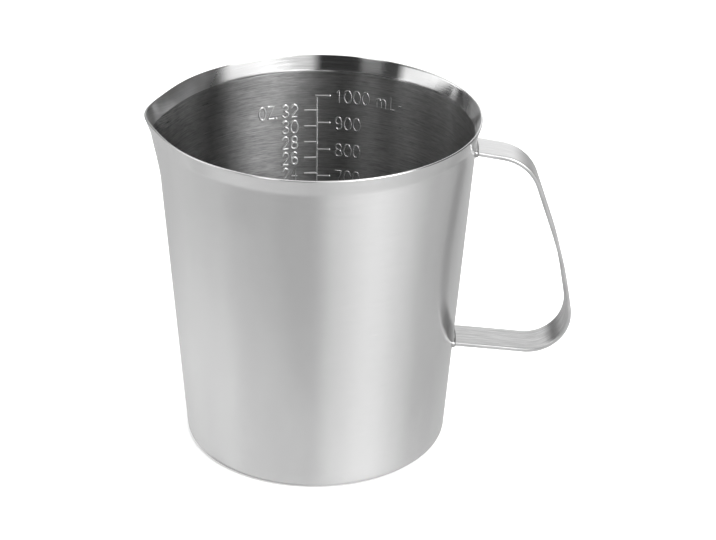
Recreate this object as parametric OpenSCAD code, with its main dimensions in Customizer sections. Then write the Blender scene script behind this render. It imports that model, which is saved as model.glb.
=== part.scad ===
// Measuring jug pressed from one sheet of stainless steel, with a strip handle welded to its wall.
// The jug's axis is Z, the resting face is z = 0, the handle stands out along +X and the spout along -X.
// The scale is on the inside of the wall, a quarter turn from the handle, along +Y.

/* [Jug body] */
// Height from the resting face to the top of the rim
jug_height = 130; // [112:1:170]
// Outside diameter of the wall, carried down to the resting face
base_diameter = 99.6; // [90:0.2:108]
// Outside diameter of the wall where it turns out into the rim collar
collar_root_diameter = 117.6; // [112:0.2:120]
// Outside diameter of the rim
rim_diameter = 121.3; // [121:0.1:128]
// Height of the flared collar
collar_height = 6.2; // [4:0.1:10]
// Thickness of the pressed sheet
sheet_thickness = 0.8; // [0.5:0.1:1.2]

/* [Base] */
// Outside radius of the turn from the resting face into the wall
base_corner_radius = 3; // [1.5:0.1:5]
// Diameter of the raised panel in the middle of the base
panel_diameter = 82; // [50:1:84]
// Rise of that panel above the resting face
panel_rise = 1; // [0.4:0.1:2.5]

/* [Spout] */
// Height of the wall that the spout is drawn out of, below the rim
spout_height = 22; // [14:0.5:34]
// Reach of the spout's tip beyond the rim circle
spout_reach = 2.4; // [1:0.1:6]
// Depth by which the rim is drawn in on both sides of the spout
flank_draw = 0.9; // [0.2:0.1:2]
// Half width of the spout's tip, in degrees round the rim
tip_half_angle = 9.5; // [6:0.5:20]
// Reach of the drawn-in rim to each side of the tip, in degrees
spout_half_angle = 82; // [60:1:84]

/* [Scale] */
// Millilitres at the top mark
top_volume = 1000; // [600:100:1200]
// Distance of the top mark below the rim
top_mark_drop = 16.2; // [10:0.1:30]
// Height of the lowest mark, for 100 ml, above the resting face
low_mark_height = 13.9; // [8:0.1:20]
// Length of a mark to either side of the stem
mark_length = 5; // [3:0.1:9]
// Width of a mark and of the stem
mark_width = 0.7; // [0.4:0.1:1.2]
// Height of the pressed marks above the inside of the wall
mark_relief = 0.3; // [0.1:0.05:0.5]

/* [Handle] */
// Width of the strip
strip_width = 15; // [10:0.5:22]
// Thickness of the strip
strip_thickness = 1.5; // [1:0.1:2.5]
// Distance of the upper joint below the rim
upper_joint_drop = 12.8; // [12.4:0.1:30]
// Height of the lower joint above the resting face
lower_joint_height = 38.2; // [30:0.1:50]
// Run of the upper leg from the wall to its corner
upper_leg_run = 20.1; // [18:0.1:32]
// Fall of the upper leg on the way to its corner
upper_leg_fall = 3.5; // [0:0.1:8]
// Run of the lower leg from the wall to its corner
lower_leg_run = 46.9; // [44:0.1:60]
// Fall of the lower leg on the way to its corner
lower_leg_fall = 4.5; // [0:0.1:10]
// Radius of the upper bend, at the middle of the strip
upper_bend_radius = 17.5; // [6:0.5:24]
// Radius of the lower bend, at the middle of the strip
lower_bend_radius = 15.3; // [6:0.1:18]
// Distance by which the middle of the grip is set out from the line between the two corners
grip_bow = 3.3; // [1:0.1:5]

/* [Welds] */
// Radius of the weld bead round each end of the strip
bead_radius = 1.4; // [1.2:0.1:2.2]
// Run of the bead past both edges of the strip
bead_side_run = 0.7; // [0.3:0.1:2]
// Gap between the strip's end and the wall, which the weld fills
weld_gap = 0.3; // [0.1:0.05:0.6]

/* [Hidden] */

$fn = 180;
millilitres_per_ounce = 29.57;
low_volume = 100;
volume_step = 100;
low_ounces = 4;
ounce_step = 2;
scale_angle = 90;
spout_angle = 180;

// The cuts run this far past the surfaces that they cut
overrun = 5;
// The spout wraps the wall that it grows out of by this lap, and stands proud of it by this skin
spout_lap = 0.6;
spout_skin = 0.06;
// The spout swells up the wall as a quarter wave raised to this power, which starts it without a fold
spout_rise_power = 1.3;
// The share of the spout's half angle over which the rim is drawn in fully
full_draw_share = 0.7;
// The share of each half of the grip that is taken up by the long bend in its middle
grip_bend_share = 0.3;
spout_wall_steps = 6;
spout_collar_steps = 2;
spout_turn_steps = 48;
corner_steps = 8;
bend_steps = 16;

base_radius = base_diameter / 2;
collar_root = [collar_root_diameter / 2, jug_height - collar_height];
collar_lean = atan((rim_diameter - collar_root_diameter) / 2 / collar_height);
rim = [rim_diameter / 2, jug_height - sheet_thickness * sin(collar_lean)];
wall_taper = (collar_root.x - base_radius) / collar_root.y;
panel_radius = panel_diameter / 2;
spout_root_height = jug_height - spout_height;
top_ounces = floor(top_volume / millilitres_per_ounce / ounce_step) * ounce_step;
top_mark_height = jug_height - top_mark_drop;
upper_joint_height = jug_height - upper_joint_drop;

// Outside and inside radius of the straight wall at a height
function wall_radius(height) = base_radius + wall_taper * height;
function inside_radius(height) = wall_radius(height) - sheet_thickness * sqrt(1 + wall_taper * wall_taper);

// Degrees that a length round the wall takes up at a radius
function turn_of(length, radius) = length / radius * 180 / PI;

// Direction from a to b, and the direction to the left of it
function along(a, b) = (b - a) / norm(b - a);
function left_of(v) = [-v.y, v.x];
function turned(v, angle) = [v.x * cos(angle) - v.y * sin(angle), v.x * sin(angle) + v.y * cos(angle)];
function reversed(list) = [for (i = [len(list) - 1 : -1 : 0]) list[i]];

// Points of the arc that rounds the corner at b, from the leg a-b to the leg b-c
function fillet(a, b, c, radius, steps) =
    let(
        back = along(b, a),
        ahead = along(b, c),
        opening = acos(back * ahead),
        centre = b + along([0, 0], back + ahead) * radius / sin(opening / 2),
        start = b + back * radius / tan(opening / 2),
        sweep = (180 - opening) * (cross(back, ahead) < 0 ? 1 : -1)
    )
    [for (i = [0 : steps]) centre + turned(start - centre, sweep * i / steps)];

// The same path moved to its left by a distance, with mitred corners
function beside(path, distance) =
    [for (i = [0 : len(path) - 1])
        let(
            last = len(path) - 1,
            before = along(path[max(i - 1, 0)], path[max(i, 1)]),
            after = along(path[min(i, last - 1)], path[min(i + 1, last)]),
            mitre = left_of(before) + left_of(after)
        )
        path[i] + mitre * 2 * distance / (mitre * mitre)];

// A strip of sheet between two distances to the left of a path
function band(path, near, far) = concat(beside(path, near), reversed(beside(path, far)));

// Outside of the pressed sheet, from the middle of the base to the rim
sheet_path = concat(
    [[0, panel_rise], [panel_radius, panel_rise], [panel_radius + panel_rise, 0]],
    fillet([0, 0], [base_radius, 0], collar_root, base_corner_radius, corner_steps),
    [collar_root, rim]
);

module pressed_wall() {
    rotate_extrude()
        polygon(band(sheet_path, 0, sheet_thickness));
}

// Solid filling of the straight wall, grown by a clearance
module wall_core(clearance) {
    rotate_extrude()
        polygon([
            [0, 0],
            [base_radius + clearance, 0],
            [collar_root.x + clearance, collar_root.y],
            [0, collar_root.y]
        ]);
}

// How far the rim is pulled outwards at an angle from the spout's tip
function draw_share(angle) =
    let(
        full = spout_half_angle * full_draw_share,
        fade = (angle - full) / (spout_half_angle - full)
    )
    (1 + cos(180 * max(0, min(1, fade)))) / 2;
function tip_share(angle) = exp(-pow(angle / tip_half_angle, 2) / 2);
function pull(angle) = (spout_reach + flank_draw) * tip_share(angle) - flank_draw * draw_share(abs(angle));
function rise_share(height) =
    pow(sin(90 * max(0, min(1, (height - spout_root_height) / spout_height))), spout_rise_power);

// Outside of the sheet from just below the spout to the rim
spout_foot = spout_root_height - spout_lap;
spout_path = concat(
    [for (i = [0 : spout_wall_steps])
        let(height = spout_foot + (collar_root.y - spout_foot) * i / spout_wall_steps)
        [wall_radius(height), height]],
    [for (i = [1 : spout_collar_steps]) collar_root + (rim - collar_root) * i / spout_collar_steps],
    [rim + along(collar_root, rim) * spout_skin]
);
spout_section = band(spout_path, -spout_skin, sheet_thickness + spout_skin);

// One point of the spout's section, turned to its angle from the tip and pulled
function spout_point(p, angle) =
    let(radius = p.x + pull(angle) * rise_share(p.y))
    [radius * cos(spout_angle + angle), radius * sin(spout_angle + angle), p.y];

module spout_wall() {
    count = len(spout_section);
    rows = len(spout_path);
    reach = spout_half_angle + turn_of(spout_lap, rim.x);
    points = [for (i = [0 : spout_turn_steps], p = spout_section)
        spout_point(p, reach * (2 * i / spout_turn_steps - 1))];
    skin = [for (i = [0 : spout_turn_steps - 1], j = [0 : count - 1])
        let(k = (j + 1) % count, a = i * count + j, b = i * count + k)
        each [[a, b, b + count], [a, b + count, a + count]]];
    last = spout_turn_steps * count;
    ends = [for (j = [0 : rows - 2])
        let(a = j, b = j + 1, c = count - 2 - j, d = count - 1 - j)
        each [
            [a, c, b], [a, d, c],
            [last + a, last + b, last + c], [last + a, last + c, last + d]
        ]];
    polyhedron(points, concat(skin, ends));
}

// The part of the round wall that the spout takes the place of
module spout_space() {
    rotate_extrude(start = spout_angle - spout_half_angle, angle = 2 * spout_half_angle)
        translate([0, spout_root_height])
            square([rim.x + overrun, spout_height + overrun]);
}

// Height of the mark for a volume, evenly spaced between the lowest and the top mark
function mark_height(volume) =
    low_mark_height
    + (top_mark_height - low_mark_height) * (volume - low_volume) / (top_volume - low_volume);

// A raised line on the inside of the wall between two heights, over an angle round the scale
module raised_mark(low, high, start, angle) {
    rooted = sheet_thickness / 2;
    rotate_extrude(start = start, angle = angle)
        polygon([
            [inside_radius(low) - mark_relief, low],
            [inside_radius(low) + rooted, low],
            [inside_radius(high) + rooted, high],
            [inside_radius(high) - mark_relief, high]
        ]);
}

module scale_marks() {
    half = mark_width / 2;
    middle = (low_mark_height + top_mark_height) / 2;
    stem_turn = turn_of(mark_width, inside_radius(middle));
    for (volume = [low_volume : volume_step : top_volume]) {
        height = mark_height(volume);
        turn = turn_of(mark_length, inside_radius(height));
        raised_mark(height - half, height + half, scale_angle - turn, turn);
    }
    for (ounces = [low_ounces : ounce_step : top_ounces]) {
        height = mark_height(ounces * millilitres_per_ounce);
        turn = turn_of(mark_length, inside_radius(height));
        raised_mark(height - half, height + half, scale_angle, turn);
    }
    raised_mark(low_mark_height, top_mark_height, scale_angle - stem_turn / 2, stem_turn);
}

// Middle of the strip, from inside the wall at the upper joint to inside the wall at the lower joint
upper_joint = [wall_radius(upper_joint_height), upper_joint_height];
lower_joint = [wall_radius(lower_joint_height), lower_joint_height];
upper_corner = upper_joint + [upper_leg_run, -upper_leg_fall];
lower_corner = lower_joint + [lower_leg_run, -lower_leg_fall];
half_grip = norm(lower_corner - upper_corner) / 2;
grip_middle = (upper_corner + lower_corner) / 2 + left_of(along(upper_corner, lower_corner)) * grip_bow;
grip_bend_radius = grip_bend_share * norm(grip_middle - upper_corner) * half_grip / grip_bow;
strip_path = concat(
    [upper_joint + along(upper_corner, upper_joint) * overrun],
    fillet(upper_joint, upper_corner, grip_middle, upper_bend_radius, bend_steps),
    fillet(upper_corner, grip_middle, lower_corner, grip_bend_radius, bend_steps),
    fillet(grip_middle, lower_corner, lower_joint, lower_bend_radius, bend_steps),
    [lower_joint + along(lower_corner, lower_joint) * overrun]
);

module bent_strip() {
    difference() {
        rotate([90, 0, 0])
            linear_extrude(strip_width, center = true)
                polygon(band(strip_path, -strip_thickness / 2, strip_thickness / 2));
        wall_core(weld_gap);
    }
}

// Bead round one end of the strip, which fills the gap between that end and the wall
module weld(joint) {
    half_turn = turn_of(strip_width / 2 + bead_side_run, joint.x);
    difference() {
        rotate_extrude(start = -half_turn, angle = 2 * half_turn)
            translate(joint)
                circle(bead_radius);
        wall_core(0);
        bent_strip();
    }
}

module jug_body() {
    color("silver")
        union() {
            difference() {
                pressed_wall();
                spout_space();
            }
            spout_wall();
            scale_marks();
        }
}

module handle() {
    color("lightgray") bent_strip();
}

module upper_weld() {
    color("darkgray") weld(upper_joint);
}

module lower_weld() {
    color("darkgray") weld(lower_joint);
}

jug_body();
handle();
upper_weld();
lower_weld();
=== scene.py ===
import math

import bmesh
import bpy
from mathutils import Matrix, Quaternion, Vector


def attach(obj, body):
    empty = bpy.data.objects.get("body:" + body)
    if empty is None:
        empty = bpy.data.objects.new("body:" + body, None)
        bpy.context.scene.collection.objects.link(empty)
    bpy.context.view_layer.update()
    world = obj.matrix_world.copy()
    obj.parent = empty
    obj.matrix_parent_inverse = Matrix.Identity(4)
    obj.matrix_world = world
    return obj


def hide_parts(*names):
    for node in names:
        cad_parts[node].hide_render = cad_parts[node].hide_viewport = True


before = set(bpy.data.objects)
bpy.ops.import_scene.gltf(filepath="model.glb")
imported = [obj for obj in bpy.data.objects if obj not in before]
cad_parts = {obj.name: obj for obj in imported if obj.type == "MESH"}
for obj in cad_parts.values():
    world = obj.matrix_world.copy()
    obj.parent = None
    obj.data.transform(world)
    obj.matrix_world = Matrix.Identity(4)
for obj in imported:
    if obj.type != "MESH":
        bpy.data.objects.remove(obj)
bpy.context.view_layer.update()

# Jug body: one shell pressed from stainless sheet, with a raised panel in its base, a tapered wall and a
# flared collar. The spout is drawn out of the same sheet, and the rim is a plain cut edge, rounded off.
# It was brushed as it turned, so the grain runs round it, and the collar was polished inside afterwards.

sheet = 0.0008
foot_radius = 0.0498
crease_radius = 0.0588
crease_height = 0.1238
rim_radius = 0.06065
rim_height = 0.12977
panel_radius = 0.041
panel_rise = 0.001
panel_step = 0.001
foot_corner = 0.003
crease_round = 0.0006
rim_round = 0.00034
panel_round = 0.0004
foot_segments = 8
panel_segments = 3
crease_segments = 6
rim_segments = 6
wall_loops = 40
collar_loops = 5
turn_steps = 288
crisp_angle = math.radians(60)

spout_root = 0.108
spout_top = 0.13
spout_pull = 0.0033
flank_draw = 0.0009
tip_spread = math.radians(9.5)
full_draw = math.radians(57.4)
spout_end = math.radians(82)
rise_power = 1.3

wall_lean = math.atan2(crease_radius - foot_radius, crease_height)


def share_between(value, low, high):
    return min(max((value - low) / (high - low), 0), 1)


def spout_shift(place):
    aside = abs(math.atan2(place.y, -place.x))
    spread = math.exp(-((aside / tip_spread) ** 2) / 2)
    flank = (1 + math.cos(math.pi * share_between(aside, full_draw, spout_end))) / 2
    rise = math.sin(math.pi / 2 * share_between(place.z, spout_root, spout_top)) ** rise_power
    return (spout_pull * spread - flank_draw * flank) * rise


def ring_at(shape, radius, height):
    close = sheet / 8

    def on_ring(point):
        return (
            abs(math.hypot(point.co.x, point.co.y) - radius) < close
            and abs(point.co.z - height) < close
        )

    return [e for e in shape.edges if all(on_ring(point) for point in e.verts)]


def round_off(shape, edges, offset, segments):
    bmesh.ops.bevel(
        shape, geom=edges, offset=offset, offset_type="OFFSET", affect="EDGES",
        segments=segments, profile=0.5, material=-1, clamp_overlap=True,
    )


def rings_between(shape, low, high, cuts):
    rising = [
        e for e in shape.edges
        if abs(e.verts[0].co.z - e.verts[1].co.z) > 0.5 * (high - low)
        and low < (e.verts[0].co.z + e.verts[1].co.z) / 2 < high
    ]
    bmesh.ops.subdivide_edges(shape, edges=rising, cuts=cuts, use_grid_fill=True)


def cut_level(shape, height):
    bmesh.ops.bisect_plane(
        shape, geom=shape.verts[:] + shape.edges[:] + shape.faces[:],
        plane_co=(0, 0, height), plane_no=(0, 0, 1),
    )


def finished_piece(name, shape, *finishes):
    mesh = bpy.data.meshes.new(name)
    shape.to_mesh(mesh)
    shape.free()
    mesh.shade_smooth()
    mesh.set_sharp_from_angle(angle=crisp_angle)
    for finish in finishes:
        mesh.materials.append(finish)
    piece = bpy.data.objects.new(name, mesh)
    bpy.context.scene.collection.objects.link(piece)
    return piece


shell = bmesh.new()
outline = [
    (0, panel_rise),
    (panel_radius, panel_rise),
    (panel_radius + panel_step, 0),
    (foot_radius, 0),
    (crease_radius, crease_height),
    (rim_radius, rim_height),
]
outline_points = [shell.verts.new((radius, 0, height)) for radius, height in outline]
outline_edges = [shell.edges.new(pair) for pair in zip(outline_points, outline_points[1:])]
bmesh.ops.spin(
    shell, geom=outline_points + outline_edges, cent=(0, 0, 0), axis=(0, 0, 1),
    angle=2 * math.pi, steps=turn_steps, use_merge=True,
)
bmesh.ops.remove_doubles(shell, verts=shell.verts[:], dist=sheet / 100)
bmesh.ops.recalc_face_normals(shell, faces=shell.faces[:])

corner_tangent = foot_corner * math.tan((math.pi / 2 - wall_lean) / 2)
round_off(shell, ring_at(shell, foot_radius, 0), corner_tangent, foot_segments)
round_off(shell, ring_at(shell, panel_radius, panel_rise), panel_round, panel_segments)
round_off(shell, ring_at(shell, panel_radius + panel_step, 0), panel_round, panel_segments)
round_off(shell, ring_at(shell, crease_radius, crease_height), crease_round, crease_segments)
rings_between(shell, 0, crease_height, wall_loops)
rings_between(shell, crease_height, rim_height, collar_loops)
cut_level(shell, crease_height - 2 * crease_round)
cut_level(shell, crease_height + 2 * crease_round)

for point in shell.verts:
    if point.co.z > spout_root:
        around = Vector((point.co.x, point.co.y, 0))
        point.co += around.normalized() * spout_shift(point.co)

bmesh.ops.solidify(shell, geom=shell.faces[:], thickness=sheet)
rim_edges = [
    e for e in shell.edges
    if min(point.co.z for point in e.verts) > crease_height + (rim_height - crease_height) / 2
    and len(e.link_faces) == 2
    and e.calc_face_angle() > math.pi / 4
]
round_off(shell, rim_edges, rim_round, rim_segments)

grain_low = 0.3
grain_high = 0.7
patch_low = 0.35
patch_high = 0.65
least_wear = 0.6
most_wear = 1.2
smudge_dullness = 0.03
turned_anisotropy = 0.9
quarter_turn = 0.25
spout_dull_from = -0.034
spout_dull_full = -0.044
handle_dull_from = 0.0545
handle_dull_full = 0.0575
# Painted shade: the base colour darkens from the first X to the second towards the spout, and from the
# first height to the second down inside.
painted_spout_shade_from = -0.044
painted_spout_shade_full = -0.058
painted_depth_shade_from = 0.112
painted_depth_shade_full = 0.07


def grey(level):
    return (level, level, level)


def steel_nodes(name):
    steel = bpy.data.materials.new(name)
    steel.use_nodes = True
    nodes = steel.node_tree.nodes
    nodes.clear()
    ending = nodes.new("ShaderNodeOutputMaterial")
    shader = nodes.new("ShaderNodeBsdfPrincipled")
    steel.node_tree.links.new(shader.outputs["BSDF"], ending.inputs["Surface"])
    shader.inputs["Metallic"].default_value = 1
    return steel, shader


def node(steel, kind, feeds=(), **settings):
    made = steel.node_tree.nodes.new(kind)
    for key, value in settings.items():
        setattr(made, key, value)
    for socket, source in feeds:
        if hasattr(source, "is_output"):
            steel.node_tree.links.new(source, made.inputs[socket])
        else:
            made.inputs[socket].default_value = source
    return made


def math_node(steel, operation, first, second=0.0):
    return node(steel, "ShaderNodeMath", [(0, first), (1, second)], operation=operation).outputs[0]


def ramp(steel, source, low, high, to_low, to_high, interpolation="LINEAR"):
    limits = [
        ("Value", source), ("From Min", low), ("From Max", high), ("To Min", to_low), ("To Max", to_high),
    ]
    made = node(steel, "ShaderNodeMapRange", limits, interpolation_type=interpolation)
    return made.outputs["Result"]


def noise(steel, vector, scale, detail, roughness=0.5):
    made = node(
        steel, "ShaderNodeTexNoise",
        [("Vector", vector), ("Scale", scale), ("Detail", detail), ("Roughness", roughness)],
    )
    return made.outputs["Fac"]


def blended(steel, share, first, second):
    made = node(
        steel, "ShaderNodeMix", [("Factor", share), ("A", first), ("B", second)], data_type="FLOAT",
    )
    return made.outputs["Result"]


def tinted(steel, share, first, second):
    made = node(
        steel, "ShaderNodeMix", [("Factor", share), (6, (*first, 1)), (7, (*second, 1))],
        data_type="RGBA", clamp_factor=False,
    )
    return made.outputs[2]


def brush_round(steel, shader, place):
    shader.inputs["Anisotropic"].default_value = turned_anisotropy
    shader.inputs["Anisotropic Rotation"].default_value = quarter_turn
    round_way = node(
        steel, "ShaderNodeVectorMath", [(0, (0, 0, 1)), (1, place)], operation="CROSS_PRODUCT",
    ).outputs[0]
    steel.node_tree.links.new(round_way, shader.inputs["Tangent"])


def roughen(steel, shader, height, strength, depth):
    made = node(steel, "ShaderNodeBump", [("Strength", strength), ("Distance", depth), ("Height", height)])
    steel.node_tree.links.new(made.outputs[0], shader.inputs["Normal"])


def turned_steel(
    name, smooth, rough, dark, pale, streaked, smudged,
    end_dullness=0.0, painted_spout_shade=0.0, painted_depth_shade=0.0,
):
    steel, shader = steel_nodes(name)
    link = steel.node_tree.links.new
    place = node(steel, "ShaderNodeTexCoord").outputs["Object"]
    flat = node(
        steel, "ShaderNodeVectorMath", [(0, place), (1, (1, 1, 0))], operation="MULTIPLY",
    ).outputs[0]
    radius = node(steel, "ShaderNodeVectorMath", [(0, flat)], operation="LENGTH").outputs["Value"]
    axes = node(steel, "ShaderNodeSeparateXYZ", [(0, place)]).outputs
    along = math_node(steel, "SUBTRACT", axes["Z"], radius)

    def round_lines(stretch):
        stretched = math_node(steel, "MULTIPLY", along, stretch)
        return node(
            steel, "ShaderNodeCombineXYZ", [(0, axes["X"]), (1, axes["Y"]), (2, stretched)],
        ).outputs[0]

    fine = noise(steel, round_lines(60.0), scale=60.0, detail=1.0)
    streaks = noise(steel, round_lines(9.0), scale=250.0, detail=3.0, roughness=0.65)
    smudge = noise(steel, round_lines(0.25), scale=55.0, detail=4.0, roughness=0.55)
    wear = noise(steel, place, scale=150.0, detail=2.0)
    tone = blended(steel, streaked, fine, streaks)

    satin = ramp(steel, tone, grain_low, grain_high, smooth, rough)
    dull_smudge = ramp(steel, smudge, patch_low, grain_high, 0.0, smudge_dullness)
    satin = math_node(steel, "ADD", satin, dull_smudge)
    dull_spout = ramp(steel, axes["X"], spout_dull_full, spout_dull_from, end_dullness, 0.0)
    dull_side = ramp(steel, axes["X"], handle_dull_from, handle_dull_full, 0.0, end_dullness)
    dull_ends = math_node(steel, "ADD", dull_spout, dull_side)
    worn = ramp(steel, wear, patch_low, patch_high, least_wear, most_wear)
    satin = math_node(steel, "ADD", satin, math_node(steel, "MULTIPLY", dull_ends, worn))
    link(satin, shader.inputs["Roughness"])

    # Painted shade: the colour is made darker towards the spout and lower down inside. The smudges on top
    # are random tone.
    spout_painted_shade = ramp(steel, axes["X"], painted_spout_shade_full, painted_spout_shade_from, painted_spout_shade, 0.0)
    depth_painted_shade = ramp(steel, axes["Z"], painted_depth_shade_full, painted_depth_shade_from, painted_depth_shade, 0.0)
    dark_smudge = ramp(steel, smudge, grain_low, grain_high, -smudged, smudged)
    painted_shade_and_smudge = math_node(steel, "ADD", spout_painted_shade, depth_painted_shade)
    painted_shade_and_smudge = math_node(steel, "ADD", painted_shade_and_smudge, dark_smudge)
    grain = math_node(steel, "SUBTRACT", ramp(steel, tone, grain_low, grain_high, 0, 1), painted_shade_and_smudge)
    link(tinted(steel, grain, dark, pale), shader.inputs["Base Color"])
    brush_round(steel, shader, place)
    roughen(steel, shader, fine, strength=0.015, depth=0.00002)
    return steel


OUTSIDE, INSIDE, COLLAR = range(3)
for face in shell.faces:
    middle = face.calc_center_median()
    inward = face.normal.x * middle.x + face.normal.y * middle.y < 0
    if (inward or face.normal.z > 0.5) and middle.z > crease_height:
        face.material_index = COLLAR
    elif inward or face.normal.z > 0.5:
        face.material_index = INSIDE

body = finished_piece(
    "jug_shell", shell,
    turned_steel(
        "satin_wall", smooth=0.229, rough=0.247, dark=grey(0.782), pale=grey(0.818),
        streaked=0.6, smudged=0.7,
    ),
    # Inside, the same steel is given a much darker colour: painted shade inside the jug.
    turned_steel(
        "brushed_inside_painted_shade", smooth=0.26, rough=0.35, dark=grey(0.3), pale=grey(0.56),
        streaked=0.6, smudged=0.1, painted_spout_shade=1.1, painted_depth_shade=0.3,
    ),
    turned_steel(
        "polished_collar", smooth=0.08, rough=0.13, dark=grey(0.73), pale=grey(0.83),
        streaked=0.2, smudged=0.3, end_dullness=0.34, painted_spout_shade=4.0,
    ),
)
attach(body, "root")
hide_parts("jug_body")

# Scale: a stem with a tick for each hundred millilitres on its right and each two ounces on its left.
# It is struck into the sheet from outside with a round-nosed tool, so that each line is a low bead inside.
# The figures are plain single strokes, and those for millilitres are coloured darker: painted shade.

scale_foot = 0.0139
scale_head = 0.1138
tick_length = 0.005
bead_width = 0.0007
bead_relief = 0.0003
millilitres_per_ounce = 29.57
top_millilitres = 1000
low_millilitres = 100
millilitre_step = 100
low_ounces = 4
top_ounces = 32
ounce_step = 2
figure_height = 0.005
figure_width = 0.00245
figure_pitch = 0.0036
figure_drop = 0.0001
stroke_width = 0.00078
millilitre_column = 0.0073
ounce_column = 0.0078
unit_gap = 0.0034
unit_letter_pitch = 1.7 * figure_pitch
ounce_unit_shift = 3.6 * figure_pitch
ounce_dot_shift = 1.95 * figure_pitch
dot_width = 0.00095
dot_segments = 12
dot_rings = 8
stroke_roundness = 2
stroke_smoothness = 6


def mark_height(millilitres):
    up = (millilitres - low_millilitres) / (top_millilitres - low_millilitres)
    return scale_foot + (scale_head - scale_foot) * up


def inside_radius(height):
    return foot_radius + height * math.tan(wall_lean) - sheet / math.cos(wall_lean)


def strokes_on_wall(name, strokes, width):
    path = bpy.data.curves.new(name, "CURVE")
    path.dimensions = "3D"
    path.bevel_depth = width / 2
    path.bevel_resolution = stroke_roundness
    path.resolution_u = stroke_smoothness
    path.use_fill_caps = True
    for closed, points in strokes:
        spline = path.splines.new("BEZIER")
        spline.bezier_points.add(len(points) - 1)
        spline.use_cyclic_u = closed
        for knot, (across, up, bend) in zip(spline.bezier_points, points):
            knot.co = (across, up, 0)
            knot.handle_left_type = bend
            knot.handle_right_type = bend
    maker = bpy.data.objects.new(name, path)
    bpy.context.scene.collection.objects.link(maker)
    bpy.context.view_layer.update()
    shown = maker.evaluated_get(bpy.context.evaluated_depsgraph_get())
    solid = bpy.data.meshes.new_from_object(shown)
    bpy.data.objects.remove(maker)
    bpy.data.curves.remove(path)
    beads = bmesh.new()
    beads.from_mesh(solid)
    bmesh.ops.remove_doubles(beads, verts=beads.verts[:], dist=width / 1000)
    bpy.data.meshes.remove(solid)
    return beads


def lay_on_wall(beads):
    for point in beads.verts:
        across, up, out = point.co
        radius = inside_radius(up)
        turn = math.pi / 2 - across / radius
        reach = radius - out * bead_relief / (bead_width / 2)
        point.co = (reach * math.cos(turn), reach * math.sin(turn), up)
    bmesh.ops.recalc_face_normals(beads, faces=beads.faces[:])


def straight(*points):
    return (False, [(across, up, "VECTOR") for across, up in points])


ml_marks = range(low_millilitres, top_millilitres + 1, millilitre_step)
oz_marks = range(low_ounces, top_ounces + 1, ounce_step)
lines = [straight((0, scale_foot), (0, scale_head - bead_width))]
for millilitres in ml_marks:
    tick_start = -bead_width if millilitres == top_millilitres else 0
    tick_height = mark_height(millilitres)
    lines.append(straight((tick_start, tick_height), (tick_length, tick_height)))
for ounces in oz_marks:
    tick_height = mark_height(ounces * millilitres_per_ounce)
    lines.append(straight((-tick_length, tick_height), (0, tick_height)))
marks = strokes_on_wall("scale_lines", lines, bead_width)
for millilitres in ml_marks:
    bmesh.ops.create_uvsphere(
        marks, u_segments=dot_segments, v_segments=dot_rings, radius=dot_width / 2,
        matrix=Matrix.Translation((tick_length, mark_height(millilitres), 0)),
    )
lay_on_wall(marks)


# Where the painted shade over the millilitre figures starts and where it is full, and the lighter level
# before it.
painted_figure_shade_from = 0.0055
painted_figure_shade_full = 0.0075
painted_lit_level = 0.84
strike_wear = 0.16


def struck_steel(name, smooth, rough, dark, pale):
    steel, shader = steel_nodes(name)
    link = steel.node_tree.links.new
    place = node(steel, "ShaderNodeTexCoord").outputs["Object"]
    axes = node(steel, "ShaderNodeSeparateXYZ", [(0, place)]).outputs
    speckle = noise(steel, place, scale=900.0, detail=3.0, roughness=0.6)
    wear = noise(steel, place, scale=160.0, detail=2.0)
    link(ramp(steel, speckle, grain_low, grain_high, smooth, rough), shader.inputs["Roughness"])
    # Painted shade: the colour is lighter up to the millilitre figures and darker over them.
    painted_figure_light = ramp(steel, axes["X"], painted_figure_shade_from, painted_figure_shade_full, painted_lit_level, 0.0)
    worn = ramp(steel, wear, patch_low, patch_high, 0.0, strike_wear)
    shine = math_node(steel, "ADD", painted_figure_light, worn)
    link(tinted(steel, shine, dark, pale), shader.inputs["Base Color"])
    brush_round(steel, shader, place)
    roughen(steel, shader, speckle, strength=0.15, depth=0.00003)
    return steel


bead_steel = struck_steel("struck_steel", smooth=0.34, rough=0.44, dark=grey(0.34), pale=grey(0.76))
scale_lines = finished_piece("scale_lines", marks, bead_steel)
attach(scale_lines, "root")

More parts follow.
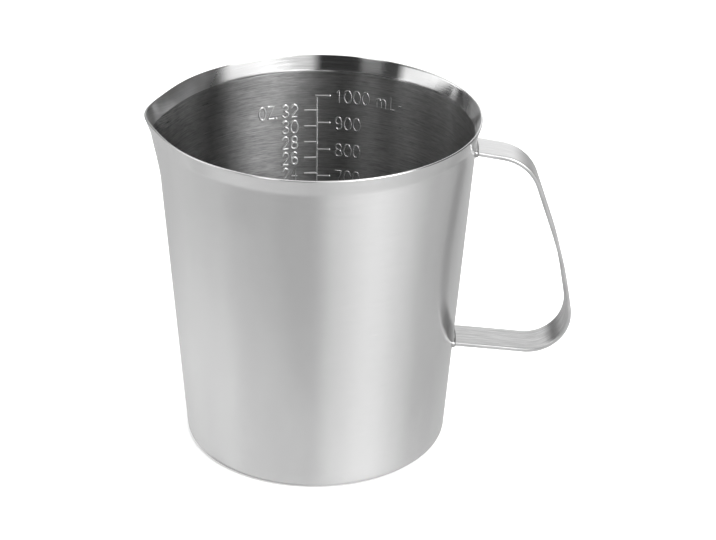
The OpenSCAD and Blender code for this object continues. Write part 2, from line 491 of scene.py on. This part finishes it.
# Each knot is given in shares of the figure's width and height.
ROUND, SHARP = "AUTO", "VECTOR"
figure_stroke_shares = {
    "0": [(True, [(0.5, 1, ROUND), (0, 0.72, ROUND), (0, 0.28, ROUND),
                  (0.5, 0, ROUND), (1, 0.28, ROUND), (1, 0.72, ROUND)])],
    "1": [(False, [(0.22, 0.8, SHARP), (0.55, 1, SHARP), (0.55, 0, SHARP)])],
    "2": [(False, [(0, 0.76, ROUND), (0.5, 1, ROUND), (1, 0.72, ROUND), (0.62, 0.4, ROUND),
                   (0, 0, SHARP), (1, 0, SHARP)])],
    "3": [(False, [(0.04, 0.86, ROUND), (0.5, 1, ROUND), (0.95, 0.76, ROUND), (0.42, 0.53, SHARP),
                   (1, 0.27, ROUND), (0.5, 0, ROUND), (0, 0.16, ROUND)])],
    "4": [(False, [(0.72, 0, SHARP), (0.72, 1, SHARP), (0, 0.32, SHARP), (1, 0.32, SHARP)])],
    "5": [(False, [(0.92, 1, SHARP), (0.14, 1, SHARP), (0.08, 0.52, SHARP), (0.55, 0.64, ROUND),
                   (1, 0.32, ROUND), (0.5, 0, ROUND), (0, 0.14, ROUND)])],
    "6": [(False, [(0.9, 0.88, ROUND), (0.5, 1, ROUND), (0.03, 0.5, ROUND), (0.5, 0, ROUND),
                   (1, 0.3, ROUND), (0.5, 0.58, ROUND), (0.05, 0.36, ROUND)])],
    "7": [(False, [(0, 1, SHARP), (1, 1, SHARP), (0.35, 0, SHARP)])],
    "8": [(True, [(0.5, 0.53, ROUND), (0.06, 0.76, ROUND), (0.5, 1, ROUND), (0.94, 0.76, ROUND)]),
          (True, [(0.5, 0.52, ROUND), (0, 0.26, ROUND), (0.5, 0, ROUND), (1, 0.26, ROUND)])],
    "9": [(False, [(0.1, 0.12, ROUND), (0.5, 0, ROUND), (0.97, 0.5, ROUND), (0.5, 1, ROUND),
                   (0, 0.7, ROUND), (0.5, 0.42, ROUND), (0.95, 0.64, ROUND)])],
    "O": [(True, [(0.5, 1, ROUND), (0, 0.7, ROUND), (0, 0.3, ROUND),
                  (0.5, 0, ROUND), (1, 0.3, ROUND), (1, 0.7, ROUND)])],
    "Z": [(False, [(0, 1, SHARP), (1, 1, SHARP), (0, 0, SHARP), (1, 0, SHARP)])],
    "m": [(False, [(0, 0, SHARP), (0, 0.66, SHARP)]),
          (False, [(0, 0.5, ROUND), (0.4, 0.68, ROUND), (0.78, 0.48, SHARP), (0.78, 0, SHARP)]),
          (False, [(0.78, 0.5, ROUND), (1.18, 0.68, ROUND), (1.56, 0.48, SHARP), (1.56, 0, SHARP)])],
    "L": [(False, [(0, 1, SHARP), (0, 0, SHARP), (0.8, 0, SHARP)])],
    "-": [(False, [(0, 0.4, SHARP), (0.45, 0.4, SHARP)])],
}


def figure_foot(millilitres):
    return mark_height(millilitres) - figure_drop - figure_height / 2


def written(text, start, foot):
    strokes = []
    for place, figure in enumerate(text):
        for closed, knots in figure_stroke_shares[figure]:
            shift = start + place * figure_pitch
            strokes.append((closed, [
                (shift + across * figure_width, foot + up * figure_height, bend)
                for across, up, bend in knots
            ]))
    return strokes


strokes = []
for millilitres in ml_marks:
    strokes += written(str(millilitres), millilitre_column, figure_foot(millilitres))
for ounces in oz_marks:
    text = str(ounces)
    text_start = -ounce_column - figure_width - (len(text) - 1) * figure_pitch
    strokes += written(text, text_start, figure_foot(ounces * millilitres_per_ounce))
top_foot = figure_foot(top_millilitres)
last_figure = millilitre_column + (len(str(top_millilitres)) - 1) * figure_pitch
unit_start = last_figure + figure_width + unit_gap
strokes += written("m", unit_start, top_foot)
strokes += written("L-", unit_start + unit_letter_pitch, top_foot)
ounce_foot = figure_foot(top_ounces * millilitres_per_ounce)
ounce_unit_start = -ounce_column - figure_width - ounce_unit_shift
strokes += written("OZ", ounce_unit_start, ounce_foot)
figures = strokes_on_wall("scale_figures", strokes, stroke_width)
bmesh.ops.create_uvsphere(
    figures, u_segments=dot_segments, v_segments=dot_rings, radius=dot_width / 2,
    matrix=Matrix.Translation((ounce_unit_start + ounce_dot_shift, ounce_foot, 0)),
)
lay_on_wall(figures)
scale_figures = finished_piece("scale_figures", figures, bead_steel)
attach(scale_figures, "root")

# Handle: a flat stainless strip, brushed along its length and bent twice on a former, with a slightly bowed
# grip between the bends. Its two cut ends stand against the wall and are held by the welds, and its edges
# are rounded off.

strip_width = 0.015
strip_thickness = 0.00146
strip_round = 0.00035
round_segments = 4
end_gap = 0.0003
upper_joint_height = 0.1172
lower_joint_height = 0.0382
upper_leg = Vector((0.0201, 0, -0.0035))
lower_leg = Vector((0.0469, 0, -0.0045))
upper_bend = 0.0175
lower_bend = 0.0153
grip_bow = 0.0033
grip_bend_share = 0.3
bend_steps = 28
leg_steps = 10
cross_cuts = 7
across = Vector((0, 1, 0))


def joint_at(height):
    return Vector((foot_radius + height * math.tan(wall_lean), 0, height))


def strip_up(way):
    return across.cross(-way).normalized()


upper_joint = joint_at(upper_joint_height)
lower_joint = joint_at(lower_joint_height)
upper_corner = upper_joint + upper_leg
lower_corner = lower_joint + lower_leg
grip_middle = (upper_corner + lower_corner) / 2 + strip_up(lower_corner - upper_corner) * grip_bow
route = [upper_joint, upper_corner, grip_middle, lower_corner, lower_joint]
ways = [(there - here).normalized() for here, there in zip(route, route[1:])]
turns = [before.angle(after) for before, after in zip(ways, ways[1:])]
grip_bend = grip_bend_share * (grip_middle - upper_corner).length / math.tan(turns[1] / 2)

strip = bmesh.new()
reached = upper_joint + ways[0] * end_gap
end_corners = [
    reached + across * (side * strip_width / 2) + strip_up(ways[0]) * (top * strip_thickness / 2)
    for side, top in ((-1, -1), (1, -1), (1, 1), (-1, 1))
]
end_face = strip.faces.new([strip.verts.new(corner) for corner in end_corners])
bmesh.ops.bevel(
    strip, geom=end_face.verts[:], offset=strip_round, offset_type="OFFSET", affect="VERTICES",
    segments=round_segments, profile=0.5, material=-1,
)
wide_edges = [e for e in strip.edges if e.calc_length() > strip_width / 2]
bmesh.ops.subdivide_edges(strip, edges=wide_edges, cuts=cross_cuts)
bmesh.ops.delete(strip, geom=strip.faces[:], context="FACES_KEEP_BOUNDARY")
first_ring = strip.edges[:]
first_points = strip.verts[:]
ring = first_ring


def run_straight(ring, way, length):
    for _ in range(leg_steps):
        made = bmesh.ops.extrude_edge_only(strip, edges=ring)["geom"]
        bmesh.ops.translate(
            strip, vec=way * (length / leg_steps),
            verts=[part for part in made if isinstance(part, bmesh.types.BMVert)],
        )
        ring = [
            part for part in made if isinstance(part, bmesh.types.BMEdge)
            and abs((part.verts[0].co - part.verts[1].co).dot(way)) < end_gap / 10
            and all(point in made for point in part.verts)
        ]
    return ring


def run_bend(ring, centre, turn):
    points = list({point for part in ring for point in part.verts})
    made = bmesh.ops.spin(
        strip, geom=points + ring, cent=centre, axis=across, angle=turn, steps=bend_steps,
    )["geom_last"]
    return [part for part in made if isinstance(part, bmesh.types.BMEdge)]


for place, bend in enumerate((upper_bend, grip_bend, lower_bend)):
    corner = route[place + 1]
    setback = bend * math.tan(turns[place] / 2)
    bend_start = corner - ways[place] * setback
    ring = run_straight(ring, ways[place], (bend_start - reached).length)
    ring = run_bend(ring, bend_start - strip_up(ways[place]) * bend, turns[place])
    reached = corner + ways[place + 1] * setback
ring = run_straight(ring, ways[-1], (lower_joint - reached).length - end_gap)
last_points = list({point for part in ring for point in part.verts})
for points, joint in ((first_points, upper_joint), (last_points, lower_joint)):
    for point in points:
        point.co.x += math.sqrt(joint.x ** 2 - point.co.y ** 2) - joint.x
for end_ring in (first_ring, ring):
    bmesh.ops.edgeloop_fill(strip, edges=end_ring)
bmesh.ops.remove_doubles(strip, verts=strip.verts[:], dist=strip_round / 100)
bmesh.ops.recalc_face_normals(strip, faces=strip.faces[:])


strip_anisotropy = 0.6
strip_smudge_dullness = 0.04


def drawn_steel(name, smooth, rough, dark, pale, streaked):
    steel, shader = steel_nodes(name)
    link = steel.node_tree.links.new
    place = node(steel, "ShaderNodeTexCoord").outputs["Object"]

    def long_lines(stretch):
        return node(
            steel, "ShaderNodeMapping", [("Vector", place), ("Scale", (1, stretch, 1))],
        ).outputs[0]

    fine = noise(steel, long_lines(160), scale=50.0, detail=3.0, roughness=0.6)
    streaks = noise(steel, long_lines(20), scale=120.0, detail=3.0, roughness=0.6)
    smudge = noise(steel, place, scale=60.0, detail=4.0, roughness=0.55)
    tone = blended(steel, streaked, fine, streaks)
    satin = ramp(steel, tone, grain_low, grain_high, smooth, rough)
    dull_smudge = ramp(steel, smudge, patch_low, grain_high, 0.0, strip_smudge_dullness)
    link(math_node(steel, "ADD", satin, dull_smudge), shader.inputs["Roughness"])
    grain = ramp(steel, tone, grain_low, grain_high, 0, 1)
    link(tinted(steel, grain, dark, pale), shader.inputs["Base Color"])
    shader.inputs["Anisotropic"].default_value = strip_anisotropy
    sideways = node(steel, "ShaderNodeCombineXYZ", [(0, 0.0), (1, 1.0), (2, 0.0)]).outputs[0]
    link(sideways, shader.inputs["Tangent"])
    roughen(steel, shader, fine, strength=0.03, depth=0.00002)
    return steel


# The faces inside the handle's loop get a darker copy of the steel: painted shade between the handle and
# the wall.
OUTER_FACE, PAINTED_SHADE_FACE = range(2)
loop_middle = (upper_corner + lower_joint) / 2
for face in strip.faces:
    inwards = (loop_middle - face.calc_center_median()).normalized()
    if abs(face.normal.y) < 0.5 and face.normal.dot(inwards) > 0:
        face.material_index = PAINTED_SHADE_FACE

handle = finished_piece(
    "handle_strip", strip,
    drawn_steel(
        "drawn_steel", smooth=0.26, rough=0.33, dark=grey(0.62), pale=grey(0.88), streaked=0.6,
    ),
    drawn_steel(
        "drawn_painted_shade", smooth=0.28, rough=0.38, dark=grey(0.38), pale=grey(0.82), streaked=0.65,
    ),
)
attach(handle, "root")
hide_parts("handle")

# Welds: a bead of filler along each end of the strip where it meets the wall, dressed smooth afterwards.
# It is fused into the sheet but not through it, so nothing shows inside. Small ripples are left from the
# way that the molten pool froze step by step.

bead_radius = 0.0014
bead_run = 0.0007
bead_sides = 16
bead_steps = 40
bead_ripple = 0.00006
ripple_turns = 11
slim_from = 0.9
slim_share = 0.35


def ripple_steel(name, smooth, rough, dark, pale):
    steel, shader = steel_nodes(name)
    link = steel.node_tree.links.new
    place = node(steel, "ShaderNodeTexCoord").outputs["Object"]
    grit = noise(steel, place, scale=1400.0, detail=3.0, roughness=0.6)
    weld_tone = noise(steel, place, scale=260.0, detail=2.0)
    link(ramp(steel, grit, grain_low, grain_high, smooth, rough), shader.inputs["Roughness"])
    shine = ramp(steel, weld_tone, patch_low, patch_high, 0, 1)
    link(tinted(steel, shine, dark, pale), shader.inputs["Base Color"])
    roughen(steel, shader, grit, strength=0.25, depth=0.00005)
    return steel


# The weld's steel is coloured dark: painted shade for the dark gap where the strip's end meets the wall,
# with random patches of tone in it.
weld_steel = ripple_steel("ripple_steel", smooth=0.24, rough=0.42, dark=grey(0.34), pale=grey(0.56))


def weld_bead(name, joint, cad_node):
    bead = bmesh.new()
    half_turn = (strip_width / 2 + bead_run) / joint.x
    made = bmesh.ops.create_circle(bead, segments=bead_sides, radius=bead_radius)["verts"]
    bmesh.ops.rotate(bead, verts=made, matrix=Matrix.Rotation(math.pi / 2, 3, "X"))
    bmesh.ops.translate(bead, verts=made, vec=joint)
    bmesh.ops.rotate(bead, verts=made, matrix=Matrix.Rotation(-half_turn, 3, "Z"))
    first = bead.edges[:]
    last = bmesh.ops.spin(
        bead, geom=made + first, cent=(0, 0, 0), axis=(0, 0, 1), angle=2 * half_turn, steps=bead_steps,
    )["geom_last"]
    for point in bead.verts:
        turn = math.atan2(point.co.y, point.co.x)
        middle = Vector((joint.x * math.cos(turn), joint.x * math.sin(turn), joint.z))
        away = (point.co - middle).normalized()
        near_end = share_between(abs(turn) / half_turn, slim_from, 1)
        slim = 1 - slim_share * near_end ** 2
        ripple = bead_ripple * math.cos(ripple_turns * math.pi * turn / half_turn)
        point.co = middle + away * (bead_radius * slim - bead_ripple + ripple)
        in_the_sheet = foot_radius + point.co.z * math.tan(wall_lean) - sheet / 2
        outwards = in_the_sheet / math.hypot(point.co.x, point.co.y)
        if outwards > 1:
            point.co.xy = point.co.xy * outwards
    last_edges = [part for part in last if isinstance(part, bmesh.types.BMEdge)]
    for end_ring in (first, last_edges):
        bmesh.ops.edgeloop_fill(bead, edges=end_ring)
    bmesh.ops.recalc_face_normals(bead, faces=bead.faces[:])
    weld = finished_piece(name, bead, weld_steel)
    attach(weld, "root")
    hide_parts(cad_node)


weld_bead("upper_bead", upper_joint, "upper_weld")
weld_bead("lower_bead", lower_joint, "lower_weld")

# Floor: a plain white studio floor, white to the camera, which keeps the jug's shadow.
# In the steel it shows as white close to the jug and gives way further out to the lit studio round it.

floor_size = 6.0
floor_shade = 0.8
floor_glow = 0.4
near_edge = 0.05
far_edge = 0.16
near_share = 0.2
near_centre = (-0.07, -0.01, 0)
# Between these distances from the middle the glow fades out round the foot: a painted contact shadow.
painted_shadow_edge = 0.0455
painted_shadow_end = 0.0505
floor_shape = bmesh.new()
bmesh.ops.create_grid(floor_shape, x_segments=1, y_segments=1, size=floor_size / 2)


def white_floor(name):
    paint = bpy.data.materials.new(name)
    paint.use_nodes = True
    paint.node_tree.nodes.clear()
    link = paint.node_tree.links.new
    ending = node(paint, "ShaderNodeOutputMaterial")
    path = node(paint, "ShaderNodeLightPath")
    matt = node(paint, "ShaderNodeBsdfDiffuse", [("Color", (*grey(floor_shade), 1))])
    place = node(paint, "ShaderNodeTexCoord").outputs["Object"]
    distance = node(paint, "ShaderNodeVectorMath", [(0, place)], operation="LENGTH").outputs["Value"]
    seen = math_node(paint, "MAXIMUM", path.outputs["Is Camera Ray"], path.outputs["Is Glossy Ray"])
    seen = math_node(paint, "MAXIMUM", seen, path.outputs["Is Transmission Ray"])
    # The glow is cut off in a thin ring round the foot: a painted contact shadow, for the camera and in the
    # steel.
    clear = ramp(paint, distance, painted_shadow_edge, painted_shadow_end, 0, floor_glow)
    glow = node(paint, "ShaderNodeEmission", [("Strength", math_node(paint, "MULTIPLY", seen, clear))])
    lit = node(paint, "ShaderNodeAddShader", [(0, matt.outputs[0]), (1, glow.outputs[0])])
    aside = node(
        paint, "ShaderNodeVectorMath", [(0, place), (1, near_centre)], operation="DISTANCE",
    ).outputs["Value"]
    shown = ramp(paint, aside, near_edge, far_edge, near_share, 0)
    sheen = node(paint, "ShaderNodeMixShader", [
        (0, shown), (1, node(paint, "ShaderNodeBsdfTransparent").outputs[0]), (2, lit.outputs[0]),
    ])
    either = node(
        paint, "ShaderNodeMixShader",
        [(0, path.outputs["Is Glossy Ray"]), (1, lit.outputs[0]), (2, sheen.outputs[0])],
    )
    link(either.outputs[0], ending.inputs["Surface"])
    return paint


floor = finished_piece("studio_floor", floor_shape, white_floor("white_floor"))

# Light: a white studio with a wide panel in front on the right, one on the left and one behind the jug, and
# a dim gap between the first two. Higher up stand a strong panel on the right and a narrow one on the left,
# under a plain ceiling. The ground gives a soft light all round, and a softbox overhead casts the shadow.

room = bpy.data.worlds.new("studio_room")
room.use_nodes = True
room.node_tree.nodes.clear()
bpy.context.scene.world = room
ground_edge = (-0.73, -0.65)
low_edge = (-0.62, -0.48)
wall_edge = (-0.08, 0.02)
middle_edge = (0.145, 0.185)
upper_edge = (0.35, 0.4)
ceiling_edge = (0.72, 0.82)
ceiling_level = 0.9

# Each pair is a bearing in degrees, from the front and growing to the right, and the light from there.
under_levels = [
    (-180, 0.6), (-175, 0.6), (-160, 0.2), (-116, 0.2), (-100, 0.62), (-60, 0.58), (0, 0.58),
    (46, 0.76), (100, 0.57), (180, 0.6),
]
ground_levels = [
    (-180, 0.58), (-150, 0.6), (-110, 0.62), (-80, 0.59), (-56, 0.55), (-4, 0.56), (16, 0.69), (46, 0.8),
    (70, 0.74), (97, 0.58), (122, 0.57), (165, 0.64), (180, 0.64),
]
low_levels = [
    (-180, 0.6), (-150, 0.6), (-110, 0.61), (-80, 0.55), (-56, 0.47), (-20, 0.4), (-4, 0.43), (16, 0.7),
    (46, 0.86), (70, 0.74), (97, 0.55), (122, 0.54), (165, 0.62), (180, 0.62),
]
wall_levels = [
    (-180, 1.2), (-172, 1.2), (-160, 0.2), (-126, 0.2), (-118, 1.4), (-66, 1.4), (-59, 0.08), (0, 0.08),
    (7, 1.55), (16, 1.85), (27, 1.7), (36, 1.32), (48, 1.15), (62, 1.05), (70, 0.96), (78, 0.1),
    (146, 0.12), (156, 1.2), (180, 1.2),
]
middle_levels = [
    (-180, 1.5), (-170, 1.5), (-156, 0.06), (-50, 0.04), (-45, 0.2), (-35, 0.2), (-30, 0.03), (-3, 0.03),
    (4, 0.6), (30, 0.8), (44, 1.2), (64, 1.2), (72, 0.06), (146, 0.06), (156, 1.5), (180, 1.5),
]
upper_levels = [
    (-180, 0.75), (-160, 0.75), (-142, 1.4), (-90, 1.4), (-78, 0.9), (-69, 0.9),
    (-64, 0.25), (-54, 0.25), (-49, 2.8), (-36, 2.8), (-30, 0.03), (-3, 0.03),
    (4, 1.0), (18, 1.8), (34, 9.5), (56, 11.0), (70, 2.5), (77, 0.05),
    (146, 0.06), (160, 0.75), (180, 0.75),
]


look_way = node(room, "ShaderNodeTexCoord").outputs["Generated"]
look = node(room, "ShaderNodeSeparateXYZ", [(0, look_way)]).outputs
front = math_node(room, "MULTIPLY", look["Y"], -1.0)
bearing = math_node(room, "ARCTAN2", look["X"], front)
bearing_share = ramp(room, bearing, -math.pi, math.pi, 0, 1)


def levels_round(levels, interpolation):
    made = node(room, "ShaderNodeValToRGB", [("Fac", bearing_share)])
    made.color_ramp.interpolation = interpolation
    stops = made.color_ramp.elements
    stops.remove(stops[-1])
    for place, (degrees, level) in enumerate(levels):
        share = degrees / 360 + 0.5
        stop = stops.new(share) if place else stops[0]
        stop.position = share
        stop.color = (*grey(level), 1)
    return made.outputs["Color"]


def above_edge(edge, under, over):
    share = ramp(room, look["Z"], *edge, 0, 1, "SMOOTHSTEP")
    made = node(room, "ShaderNodeMix", [("Factor", share), (6, under), (7, over)], data_type="RGBA")
    return made.outputs[2]


light = levels_round(under_levels, "EASE")
light = above_edge(ground_edge, light, levels_round(ground_levels, "EASE"))
light = above_edge(low_edge, light, levels_round(low_levels, "EASE"))
light = above_edge(wall_edge, light, levels_round(wall_levels, "LINEAR"))
light = above_edge(middle_edge, light, levels_round(middle_levels, "LINEAR"))
light = above_edge(upper_edge, light, levels_round(upper_levels, "LINEAR"))
light = above_edge(ceiling_edge, light, (*grey(ceiling_level), 1))
sky = node(room, "ShaderNodeBackground", [("Color", light)])
node(room, "ShaderNodeOutputWorld", [("Surface", sky.outputs[0])])

lamp_place = (0.25, -0.1, 1.6)
lamp_size = 1.2
lamp_power = 18.0
lamp_data = bpy.data.lights.new("softbox", "AREA")
lamp_data.size = lamp_size
lamp_data.energy = lamp_power
softbox = bpy.data.objects.new("softbox", lamp_data)
softbox.location = lamp_place
softbox.visible_glossy = False
bpy.context.scene.collection.objects.link(softbox)

# Camera: stands in front of the jug and above it, aimed so that the jug lies left of the middle.
# Its height, tilt and lens are those at which the rim and the foot look as they do in the photograph.

photo_width = 716
photo_height = 540
lens_pixels = 2105.6
sensor_width = 36
camera_distance = 0.8
camera_elevation = math.radians(27.068)
camera_roll = math.radians(0.836)
jug_middle = Vector((0, 0, 0.06))
middle_pixel = (316.275, 284.094)

ahead = Vector((0, math.cos(camera_elevation), -math.sin(camera_elevation)))
right = Vector((1, 0, 0))
above = right.cross(ahead)
aim = (
    ahead
    + right * ((photo_width / 2 - middle_pixel[0]) / lens_pixels)
    + above * ((middle_pixel[1] - photo_height / 2) / lens_pixels)
)
camera_data = bpy.data.cameras.new("studio_camera")
camera_data.sensor_width = sensor_width
camera_data.lens = lens_pixels * sensor_width / photo_width
camera = bpy.data.objects.new("studio_camera", camera_data)
camera.location = jug_middle - ahead * camera_distance
camera.rotation_mode = "QUATERNION"
camera.rotation_quaternion = aim.to_track_quat("-Z", "Y") @ Quaternion((0, 0, 1), camera_roll)
bpy.context.scene.collection.objects.link(camera)
bpy.context.scene.camera = camera
bpy.context.scene.view_settings.view_transform = "Standard"
